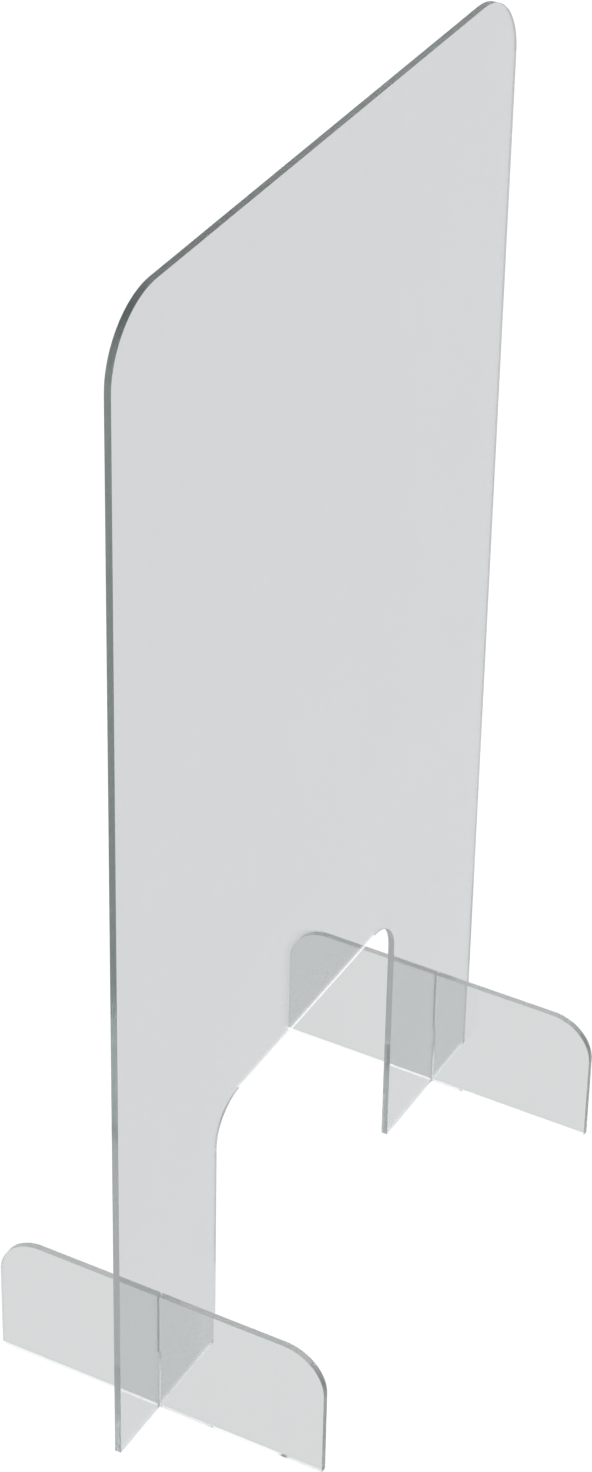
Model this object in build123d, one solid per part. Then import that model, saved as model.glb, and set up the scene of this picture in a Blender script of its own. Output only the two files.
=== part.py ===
from build123d import *

import os

# Free-standing countertop sneeze guard: a clear acrylic panel held upright by two slotted feet.
#
# Frame: origin on the counter, under the middle of the guard. +X runs along the panel's width, +Y
# towards the back, +Z up. The panel and both feet are cut from one gauge of flat sheet and cross
# in halving joints, so nothing else holds them together.

# Sheet stock
sheet = 5.5  # real thickness of 6 mm nominal acrylic sheet
arris = 0.1  # fine chamfer where the polished cut edges meet the faces

# Panel
panel_width = 600.0
panel_height = 1020.0
panel_corner_radius = 60.0

# Pass-through opening at the bottom of the panel
opening_width = 300.0
opening_height = 240.0
opening_corner_radius = 36.0

# Feet
foot_length = 295.0
foot_height = 117.5
foot_corner_radius = 37.0
foot_spacing = 474.0  # between the middles of the two feet

# Halving joints
side_clearance = 0.1  # each side of the sheet in its slot
end_gap = 0.5  # between the two slot ends, so that every piece rests on the counter
slot_width = sheet + 2 * side_clearance
slot_height = foot_height / 2 + end_gap / 2
panel_middle_y = sheet / 2  # the panel's front face stands on the feet's middle line


def upright_sheet(outline, plane):
    """The flat sheet with this outline, half its thickness each side of plane."""
    return extrude(plane * outline, sheet / 2, both=True)


def round_top(width, height, radius):
    """A rectangle standing on the X axis with its two upper corners rounded."""
    corners = [(-width / 2, 0), (width / 2, 0), (width / 2, height), (-width / 2, height)]
    outline = make_face(Polyline(*corners, close=True))
    return fillet(outline.vertices().group_by(Axis.Y)[-1], radius)


def bottom_slot(x):
    """The slot that runs up from the panel's bottom edge."""
    return Pos(x, slot_height / 2) * Rectangle(slot_width, slot_height)


def sheet_edges(part, axis):
    """The edges all round both faces of a sheet whose thickness lies along axis."""
    faces = part.faces().filter_by(axis).sort_by(axis)
    return faces[0].edges() + faces[-1].edges()


def make_panel():
    """The upright shield, with its pass-through opening and the slots for the two feet."""
    outline = round_top(panel_width, panel_height, panel_corner_radius)
    outline -= round_top(opening_width, opening_height, opening_corner_radius)
    for side in (-1, 1):
        outline -= bottom_slot(side * foot_spacing / 2)
    plane = Plane((0, panel_middle_y, 0), x_dir=(1, 0, 0), z_dir=(0, -1, 0))
    panel = upright_sheet(outline, plane)
    return chamfer(sheet_edges(panel, Axis.Y), arris)


def make_foot(x):
    """A foot across the panel at x, with the slot down from its top edge that holds the panel."""
    outline = round_top(foot_length, foot_height, foot_corner_radius)
    top_slot = Rectangle(slot_width, slot_height)
    outline -= Pos(panel_middle_y, foot_height - slot_height / 2) * top_slot
    plane = Plane((x, 0, 0), x_dir=(0, 1, 0), z_dir=(1, 0, 0))
    foot = upright_sheet(outline, plane)
    return chamfer(sheet_edges(foot, Axis.X), arris)


parts = {
    "shield_panel": make_panel(),
    "left_foot": make_foot(-foot_spacing / 2),
    "right_foot": make_foot(foot_spacing / 2),
}

os.makedirs("parts", exist_ok=True)
for name, shape in parts.items():
    export_step(shape, f"parts/{name}.step")
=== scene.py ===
import math

import bmesh
import bpy
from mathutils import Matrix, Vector


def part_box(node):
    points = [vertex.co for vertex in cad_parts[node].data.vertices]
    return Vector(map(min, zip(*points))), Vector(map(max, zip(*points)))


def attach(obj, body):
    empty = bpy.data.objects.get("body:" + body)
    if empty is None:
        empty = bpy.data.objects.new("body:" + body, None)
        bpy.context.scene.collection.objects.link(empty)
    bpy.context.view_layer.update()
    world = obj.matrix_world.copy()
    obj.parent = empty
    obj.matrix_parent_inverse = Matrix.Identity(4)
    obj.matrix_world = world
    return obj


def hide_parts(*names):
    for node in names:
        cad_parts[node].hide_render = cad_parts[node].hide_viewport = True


# A clear acrylic counter shield: one upright panel held by two slotted cross feet, on a white floor.
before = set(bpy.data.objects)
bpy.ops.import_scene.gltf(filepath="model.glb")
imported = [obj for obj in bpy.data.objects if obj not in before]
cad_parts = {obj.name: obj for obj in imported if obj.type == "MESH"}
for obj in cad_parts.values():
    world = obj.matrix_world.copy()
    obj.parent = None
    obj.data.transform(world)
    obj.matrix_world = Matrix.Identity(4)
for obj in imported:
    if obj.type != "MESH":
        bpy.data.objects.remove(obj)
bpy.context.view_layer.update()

# Sizes that the frame's boxes don't give, in metres
ARRIS = 0.00005
PANEL_CORNER_RADIUS = 0.060
OPENING_WIDTH = 0.300
OPENING_HEIGHT = 0.240
OPENING_CORNER_RADIUS = 0.036
FOOT_CORNER_RADIUS = 0.037
SLOT_SIDE_CLEARANCE = 0.0001
SLOT_END_GAP = 0.0005
ARC_STEPS = 24
SMOOTH_ANGLE = math.radians(20)  # edges bent less than this are shaded smooth
TINY = 1e-6  # slack when coordinates are compared

# Sizes and places that the frame's boxes give
FEET = ("left_foot", "right_foot")
panel_low, panel_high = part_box("shield_panel")
panel_middle = (panel_low + panel_high) / 2
panel_width = panel_high.x - panel_low.x
panel_height = panel_high.z
thickness = panel_high.y - panel_low.y
foot_boxes = [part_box(name) for name in FEET]
foot_middles = [(low + high) / 2 for low, high in foot_boxes]
foot_length = foot_boxes[0][1].y - foot_boxes[0][0].y
foot_height = foot_boxes[0][1].z
slot_width = thickness + 2 * SLOT_SIDE_CLEARANCE
slot_height = foot_height / 2 + SLOT_END_GAP / 2

# Values of the attribute that tells the faces of a sheet and its kinds of cut edge apart
FACE = 0.0
SLOT = 0.2
BOTTOM = 0.4
OPENING = 0.6
STRAIGHT = 0.8
CORNER = 1.0

# Acrylic. Tints are the shares of red, green and blue light that two crossings of a surface let through.
# They are painted shade: each kind of surface is dimmed by its own amount, the faces to a grey and the cut
# edges darker still; slots stay clear.
IOR = 1.49
CLEAR = (1.0, 1.0, 1.0)
PANEL_EDGE_PAINTED_SHADE = (0.525, 0.545, 0.545)
PANEL_PAINTED_SHADES = {
    FACE: (0.722, 0.740, 0.751),
    SLOT: CLEAR,
    BOTTOM: PANEL_EDGE_PAINTED_SHADE,
    OPENING: PANEL_EDGE_PAINTED_SHADE,
    STRAIGHT: PANEL_EDGE_PAINTED_SHADE,
    CORNER: PANEL_EDGE_PAINTED_SHADE,
}
# Painted shade on the feet as well: their faces dimmed to a grey, their cut edges darker like the panel's,
# their bottom edges less dark.
FOOT_EDGE_PAINTED_SHADE = (0.520, 0.535, 0.535)
FOOT_PAINTED_SHADES = {
    FACE: (0.766, 0.784, 0.786),
    SLOT: CLEAR,
    BOTTOM: (0.66, 0.68, 0.68),
    STRAIGHT: FOOT_EDGE_PAINTED_SHADE,
    CORNER: FOOT_EDGE_PAINTED_SHADE,
}
TINT_VARIATION = 0.008
ABSORBED = (1.4, 1.2, 1.25)  # absorption of red, green and blue per metre inside the sheet

# Finish: slots as sawn, straight edges milled, corners sanded, opening and bottom edges polished.
# Depths are in metres, here and below.
ROUGHNESS = {FACE: 0.0, SLOT: 0.4, BOTTOM: 0.05, OPENING: 0.1, STRAIGHT: 0.25, CORNER: 0.35}
ROUGHNESS_VARIATION = 0.12
TOOL_MARK_DEPTH = {FACE: 0.0, SLOT: 2e-5, BOTTOM: 5e-7, OPENING: 1e-6, STRAIGHT: 4e-6, CORNER: 3e-6}
TOOL_MARKS_PER_METRE = 600

# Fine detail. Each range of noise runs from where it starts to count to where it counts in full.
USUAL_NOISE = (0.3, 0.7)
WAVES_PER_METRE = 12
WAVE_DEPTH = 4e-6
SMEARS_PER_METRE = 7
SMEAR_NOISE = (0.5, 0.75)
SMEAR_ROUGHNESS = 0.03
HAIRLINES_PER_METRE = 700
HAIRLINE_NOISE = (0.74, 0.80)
HAIRLINE_STRETCH = 60  # how many times longer than its spacing a hairline is
HAIRLINE_TURNS = (0.35, -1.1)  # radians, one for each direction that hairlines run in
HAIRLINE_DEPTH = 1e-6
HAIRLINE_ROUGHNESS = 0.06

# Light, as strengths of plain white: what the camera sees behind the guard, and what lights it
SEEN = 1.05  # a little over white, so that the background stays pure white
FLOOR_LIT = 0.88
SKY_LIT = 1.2
SKY_TO_RIGHT = 0.6  # added towards the right, taken away towards the left
SKY_TO_FRONT = 0.8  # added towards the front, taken away towards the back
SKY_STARTS = 0.2  # sine of the elevation up to which the sky is as bright as the floor
SKY_FULL = 0.5  # sine of the elevation from which it has its own brightness
FLOOR_HALF = 30.0  # half the floor's side
FLOOR_BELOW = 0.0002  # keeps the floor clear of the sheets' bottom edges

BOUNCES = 128  # light goes back and forth many times along the inside of a sheet

# Camera, with angles in degrees and the lens in millimetres
CAMERA_PLACE = (-2.37246, -1.25065, 2.36429)
CAMERA_AZIMUTH = 59.8475
CAMERA_DOWN = 35.3447
SENSOR = 36
LENS = 103.521
SHIFT = (0.08405, 0.03227)
CLIP_END = 100


def arc(centre, radius, start, end, steps=ARC_STEPS):
    """Points round an arc, from start to end in degrees."""
    angles = [math.radians(start + (end - start) * i / steps) for i in range(steps + 1)]
    return [(centre[0] + radius * math.cos(a), centre[1] + radius * math.sin(a)) for a in angles]


def slot_points(middle, mouth, end):
    """The four corners of a slot from its mouth to its end and back, in the outline's direction."""
    side = slot_width / 2 if mouth < end else -slot_width / 2
    return [(middle - side, mouth), (middle - side, end), (middle + side, end), (middle + side, mouth)]


def panel_outline():
    """The panel seen from the front, with its opening and both slots, anticlockwise."""
    half = panel_width / 2
    radius = PANEL_CORNER_RADIUS
    opening_half = OPENING_WIDTH / 2
    opening_radius = OPENING_CORNER_RADIUS
    points = [(-half, 0)]
    points += slot_points(foot_middles[0].x, 0, slot_height)
    points += [(-opening_half, 0)]
    points += arc((-opening_half + opening_radius, OPENING_HEIGHT - opening_radius), opening_radius, 180, 90)
    points += arc((opening_half - opening_radius, OPENING_HEIGHT - opening_radius), opening_radius, 90, 0)
    points += [(opening_half, 0)]
    points += slot_points(foot_middles[1].x, 0, slot_height)
    points += [(half, 0)]
    points += arc((half - radius, panel_height - radius), radius, 0, 90)
    points += arc((-half + radius, panel_height - radius), radius, 90, 180)
    return points


def foot_outline():
    """A foot seen from the side, with its slot, anticlockwise."""
    half = foot_length / 2
    radius = FOOT_CORNER_RADIUS
    points = [(-half, 0), (half, 0)]
    points += arc((half - radius, foot_height - radius), radius, 0, 90)
    points += slot_points(panel_middle.y, foot_height, foot_height - slot_height)
    points += arc((-half + radius, foot_height - radius), radius, 90, 180)
    return points


def left_of(start, end):
    """The unit vector that points to the left of the way from start to end."""
    along = (Vector(end) - Vector(start)).normalized()
    return Vector((-along.y, along.x))


def inset(points, depth):
    """The outline moved inwards by depth, for an outline that runs anticlockwise."""
    moved = []
    for before, here, after in zip(points[-1:] + points, points, points[1:] + points[:1]):
        arriving = left_of(before, here)
        leaving = left_of(here, after)
        inwards = (arriving + leaving) / (1 + arriving.dot(leaving))
        moved.append(tuple(Vector(here) + inwards * depth))
    return moved


def cut_kind(start, end, straight_kind):
    """The kind of cut edge that runs from start to end of an outline. straight_kind(u, v) gives it
    for a straight stretch above the bottom, from its middle."""
    if max(start[1], end[1]) < TINY:
        return BOTTOM
    if min(abs(start[0] - end[0]), abs(start[1] - end[1])) > TINY:
        return CORNER
    return straight_kind((start[0] + end[0]) / 2, (start[1] + end[1]) / 2)


def sheet_piece(name, outline, straight_kind, place, material):
    """A flat sheet with this outline and a small arris round both faces. place(u, v, w) gives the
    point of the frame at u, v on the outline and w through the thickness."""
    sheet = bmesh.new()
    cut = sheet.faces.layers.float.new("cut")
    small = inset(outline, ARRIS)
    rings = []
    for points, w in (
        (small, -thickness / 2),
        (outline, -thickness / 2 + ARRIS),
        (outline, thickness / 2 - ARRIS),
        (small, thickness / 2),
    ):
        rings.append([sheet.verts.new(place(u, v, w)) for u, v in points])
    sheet.faces.new(reversed(rings[0]))
    sheet.faces.new(rings[-1])
    for low, high in zip(rings, rings[1:]):
        for i in range(len(low)):
            j = (i + 1) % len(low)
            face = sheet.faces.new((low[i], low[j], high[j], high[i]))
            face[cut] = cut_kind(outline[i], outline[j], straight_kind)
    bmesh.ops.recalc_face_normals(sheet, faces=sheet.faces)
    for face in sheet.faces:
        face.smooth = True
    for edge in sheet.edges:
        edge.smooth = edge.calc_face_angle() < SMOOTH_ANGLE
    # Only the two faces of the sheet have more than four corners
    bmesh.ops.triangulate(sheet, faces=[face for face in sheet.faces if len(face.verts) > 4])
    mesh = bpy.data.meshes.new(name)
    sheet.to_mesh(mesh)
    sheet.free()
    mesh.materials.append(material)
    piece = bpy.data.objects.new(name, mesh)
    bpy.context.scene.collection.objects.link(piece)
    return piece


def add_node(tree, kind, settings, inputs):
    """A new node with these settings, and its inputs set to a value or linked to a socket."""
    node = tree.nodes.new("ShaderNode" + kind)
    for name, value in settings.items():
        setattr(node, name, value)
    for name, value in inputs.items():
        if isinstance(value, bpy.types.NodeSocket):
            tree.links.new(value, node.inputs[name])
        else:
            node.inputs[name].default_value = value
    return node


def maths(tree, operation, a, b):
    """The result of an operation on two numbers or sockets."""
    return add_node(tree, "Math", {"operation": operation}, {0: a, 1: b}).outputs["Value"]


def by_cut(tree, cut, colours):
    """The colour that belongs to each value of the cut attribute."""
    ramp_node = add_node(tree, "ValToRGB", {}, {"Fac": cut})
    ramp = ramp_node.color_ramp
    ramp.interpolation = "CONSTANT"
    values = sorted(colours)
    ramp.elements[0].color = (*colours[values[0]], 1)
    ramp.elements[1].position = (values[-2] + values[-1]) / 2
    ramp.elements[1].color = (*colours[values[-1]], 1)
    for below, value in zip(values, values[1:-1]):
        ramp.elements.new((below + value) / 2).color = (*colours[value], 1)
    return ramp_node.outputs["Color"]


def level_by_cut(tree, cut, levels):
    """The number from 0 to 1 that belongs to each value of the cut attribute."""
    return by_cut(tree, cut, {value: (level,) * 3 for value, level in levels.items()})


def noise(tree, scale, turn=(0, 0, 0), detail=2.0):
    """Noise fixed to the piece, with scale as features per metre along X, Y and Z."""
    place = tree.nodes.new("ShaderNodeTexCoord").outputs["Object"]
    turned = add_node(tree, "Mapping", {}, {"Vector": place, "Rotation": turn})
    scaled = add_node(tree, "Mapping", {}, {"Vector": turned.outputs["Vector"], "Scale": scale})
    inputs = {"Vector": scaled.outputs["Vector"], "Scale": 1.0, "Detail": detail}
    return add_node(tree, "TexNoise", {}, inputs).outputs["Fac"]


def remap(tree, value, source, target):
    """value carried from the range source to the range target, and held inside it."""
    inputs = {"Value": value, "From Min": source[0], "From Max": source[1]}
    inputs.update({"To Min": target[0], "To Max": target[1]})
    return add_node(tree, "MapRange", {}, inputs).outputs["Result"]


def around_one(variation):
    """The range from 1 - variation to 1 + variation."""
    return (1 - variation, 1 + variation)


def hairlines(tree, thickness_axis):
    """1 on thin scratches along two directions of the face, and 0 elsewhere."""
    found = 0.0
    for angle in HAIRLINE_TURNS:
        turn = [0, 0, 0]
        turn[thickness_axis] = angle
        scale = [HAIRLINES_PER_METRE] * 3
        scale[2] = HAIRLINES_PER_METRE / HAIRLINE_STRETCH
        scale[thickness_axis] = 0
        lines = remap(tree, noise(tree, scale, turn, detail=0.0), HAIRLINE_NOISE, (0.0, 1.0))
        found = maths(tree, "MAXIMUM", lines, found)
    return found


def clear_acrylic(name, painted_shade_by_kind, thickness_axis):
    """Clear cast sheet with painted shade: each kind of surface dimmed by its own tint. Its thickness lies
    along axis 0, 1 or 2.
    """
    material = bpy.data.materials.new(name)
    material.use_nodes = True
    tree = material.node_tree
    shader = tree.nodes["Principled BSDF"]
    cut = add_node(tree, "Attribute", {"attribute_name": "cut"}, {}).outputs["Fac"]

    smears = noise(tree, (SMEARS_PER_METRE,) * 3)
    shade = remap(tree, smears, USUAL_NOISE, around_one(TINT_VARIATION))
    # Painted shade: the dimming tint of each kind of surface, varied a little at random
    painted_shade_inputs = {"Vector": by_cut(tree, cut, painted_shade_by_kind), "Scale": shade}
    shaded = add_node(tree, "VectorMath", {"operation": "SCALE"}, painted_shade_inputs)
    tree.links.new(shaded.outputs["Vector"], shader.inputs["Base Color"])

    along_edges = [TOOL_MARKS_PER_METRE] * 3
    along_edges[thickness_axis] = 0
    tool_marks = noise(tree, along_edges)
    scratches = hairlines(tree, thickness_axis)
    uneven = remap(tree, tool_marks, USUAL_NOISE, around_one(ROUGHNESS_VARIATION))
    roughness = maths(tree, "MULTIPLY", level_by_cut(tree, cut, ROUGHNESS), uneven)
    roughness = maths(tree, "ADD", roughness, remap(tree, smears, SMEAR_NOISE, (0.0, SMEAR_ROUGHNESS)))
    roughness = maths(tree, "ADD", roughness, maths(tree, "MULTIPLY", scratches, HAIRLINE_ROUGHNESS))
    tree.links.new(roughness, shader.inputs["Roughness"])

    height = maths(tree, "MULTIPLY", tool_marks, level_by_cut(tree, cut, TOOL_MARK_DEPTH))
    waves = maths(tree, "MULTIPLY", noise(tree, (WAVES_PER_METRE,) * 3, detail=0.0), WAVE_DEPTH)
    height = maths(tree, "ADD", height, waves)
    height = maths(tree, "SUBTRACT", height, maths(tree, "MULTIPLY", scratches, HAIRLINE_DEPTH))
    bump = add_node(tree, "Bump", {}, {"Height": height, "Distance": 1.0})
    tree.links.new(bump.outputs["Normal"], shader.inputs["Normal"])

    shader.inputs["IOR"].default_value = IOR
    shader.inputs["Transmission Weight"].default_value = 1.0
    density = max(ABSORBED)
    colour = (*[1 - absorbed / density for absorbed in ABSORBED], 1)
    volume = add_node(tree, "VolumeAbsorption", {}, {"Color": colour, "Density": density})
    tree.links.new(volume.outputs["Volume"], tree.nodes["Material Output"].inputs["Volume"])
    return material


def panel_straight(u, v):
    """The kind of a straight edge of the panel."""
    at_foot = any(abs(u - middle.x) < slot_width / 2 + TINY for middle in foot_middles)
    if v < slot_height + TINY and at_foot:
        return SLOT
    if v < OPENING_HEIGHT + TINY and abs(u) < OPENING_WIDTH / 2 + TINY:
        return OPENING
    return STRAIGHT


def foot_straight(u, v):
    """The kind of a straight edge of a foot."""
    return SLOT if abs(u - panel_middle.y) < slot_width / 2 + TINY else STRAIGHT


def make_panel():
    """The upright shield."""
    panel = sheet_piece(
        "shield_panel_sheet",
        panel_outline(),
        panel_straight,
        lambda u, v, w: (u, panel_middle.y - w, v),
        clear_acrylic("panel_acrylic", PANEL_PAINTED_SHADES, thickness_axis=1),
    )
    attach(panel, "panel")
    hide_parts("shield_panel")


def make_feet():
    """The two cross feet, which differ only in where they stand."""
    foot_acrylic = clear_acrylic("foot_acrylic", FOOT_PAINTED_SHADES, thickness_axis=0)
    for name, middle in zip(FEET, foot_middles):
        foot = sheet_piece(
            name + "_sheet",
            foot_outline(),
            foot_straight,
            lambda u, v, w: (middle.x + w, u, v),
            foot_acrylic,
        )
        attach(foot, name)
        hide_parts(name)


def camera_split(tree, strength, lit):
    """Sets strength to SEEN where the camera looks straight at it, and to lit everywhere else."""
    path = tree.nodes.new("ShaderNodeLightPath")
    inputs = {"Factor": path.outputs["Is Camera Ray"], "A": lit, "B": SEEN}
    tree.links.new(add_node(tree, "Mix", {}, inputs).outputs["Result"], strength)


def make_floor():
    """A plain pale floor that glows evenly, so that nothing on it casts a shadow."""
    corners = [(x * FLOOR_HALF, y * FLOOR_HALF, 0) for x, y in ((-1, -1), (1, -1), (1, 1), (-1, 1))]
    mesh = bpy.data.meshes.new("floor")
    mesh.from_pydata(corners, [], [(0, 1, 2, 3)])
    floor = bpy.data.objects.new("floor", mesh)
    bpy.context.scene.collection.objects.link(floor)
    floor.location.z = -FLOOR_BELOW
    material = bpy.data.materials.new("floor")
    material.use_nodes = True
    shader = material.node_tree.nodes["Principled BSDF"]
    shader.inputs["Base Color"].default_value = (0, 0, 0, 1)
    shader.inputs["Specular IOR Level"].default_value = 0.0
    shader.inputs["Emission Color"].default_value = (1, 1, 1, 1)
    camera_split(material.node_tree, shader.inputs["Emission Strength"], FLOOR_LIT)
    mesh.materials.append(material)


def make_sky():
    """A white studio: as bright as the floor near the horizon, and above it brighter towards the
    front and the right of the guard."""
    world = bpy.data.worlds.new("studio")
    bpy.context.scene.world = world
    world.use_nodes = True
    tree = world.node_tree
    sky = tree.nodes["Background"]
    sky.inputs["Color"].default_value = (1, 1, 1, 1)
    direction = tree.nodes.new("ShaderNodeTexCoord").outputs["Generated"]
    brighter = {0: direction, 1: (SKY_TO_RIGHT, -SKY_TO_FRONT, 0)}
    graded = add_node(tree, "VectorMath", {"operation": "DOT_PRODUCT"}, brighter).outputs["Value"]
    above_floor = maths(tree, "ADD", graded, SKY_LIT - FLOOR_LIT)
    height = add_node(tree, "SeparateXYZ", {}, {"Vector": direction}).outputs["Z"]
    share = remap(tree, height, (SKY_STARTS, SKY_FULL), (0.0, 1.0))
    lit = maths(tree, "ADD", maths(tree, "MULTIPLY", above_floor, share), FLOOR_LIT)
    camera_split(tree, sky.inputs["Strength"], lit)


def make_camera():
    """A long lens, high in front of the guard's left end."""
    camera = bpy.data.objects.new("camera", bpy.data.cameras.new("camera"))
    bpy.context.scene.collection.objects.link(camera)
    camera.location = CAMERA_PLACE
    camera.rotation_euler = (math.radians(90 - CAMERA_DOWN), 0, math.radians(-CAMERA_AZIMUTH))
    camera.data.sensor_fit = "AUTO"
    camera.data.sensor_width = SENSOR
    camera.data.lens = LENS
    camera.data.shift_x, camera.data.shift_y = SHIFT
    camera.data.clip_end = CLIP_END
    bpy.context.scene.camera = camera


make_panel()
make_feet()
make_floor()
make_sky()
make_camera()

scene = bpy.context.scene
scene.view_settings.view_transform = "Standard"
scene.cycles.denoising_input_passes = "RGB"
scene.cycles.max_bounces = BOUNCES
scene.cycles.transmission_bounces = BOUNCES
scene.cycles.glossy_bounces = BOUNCES
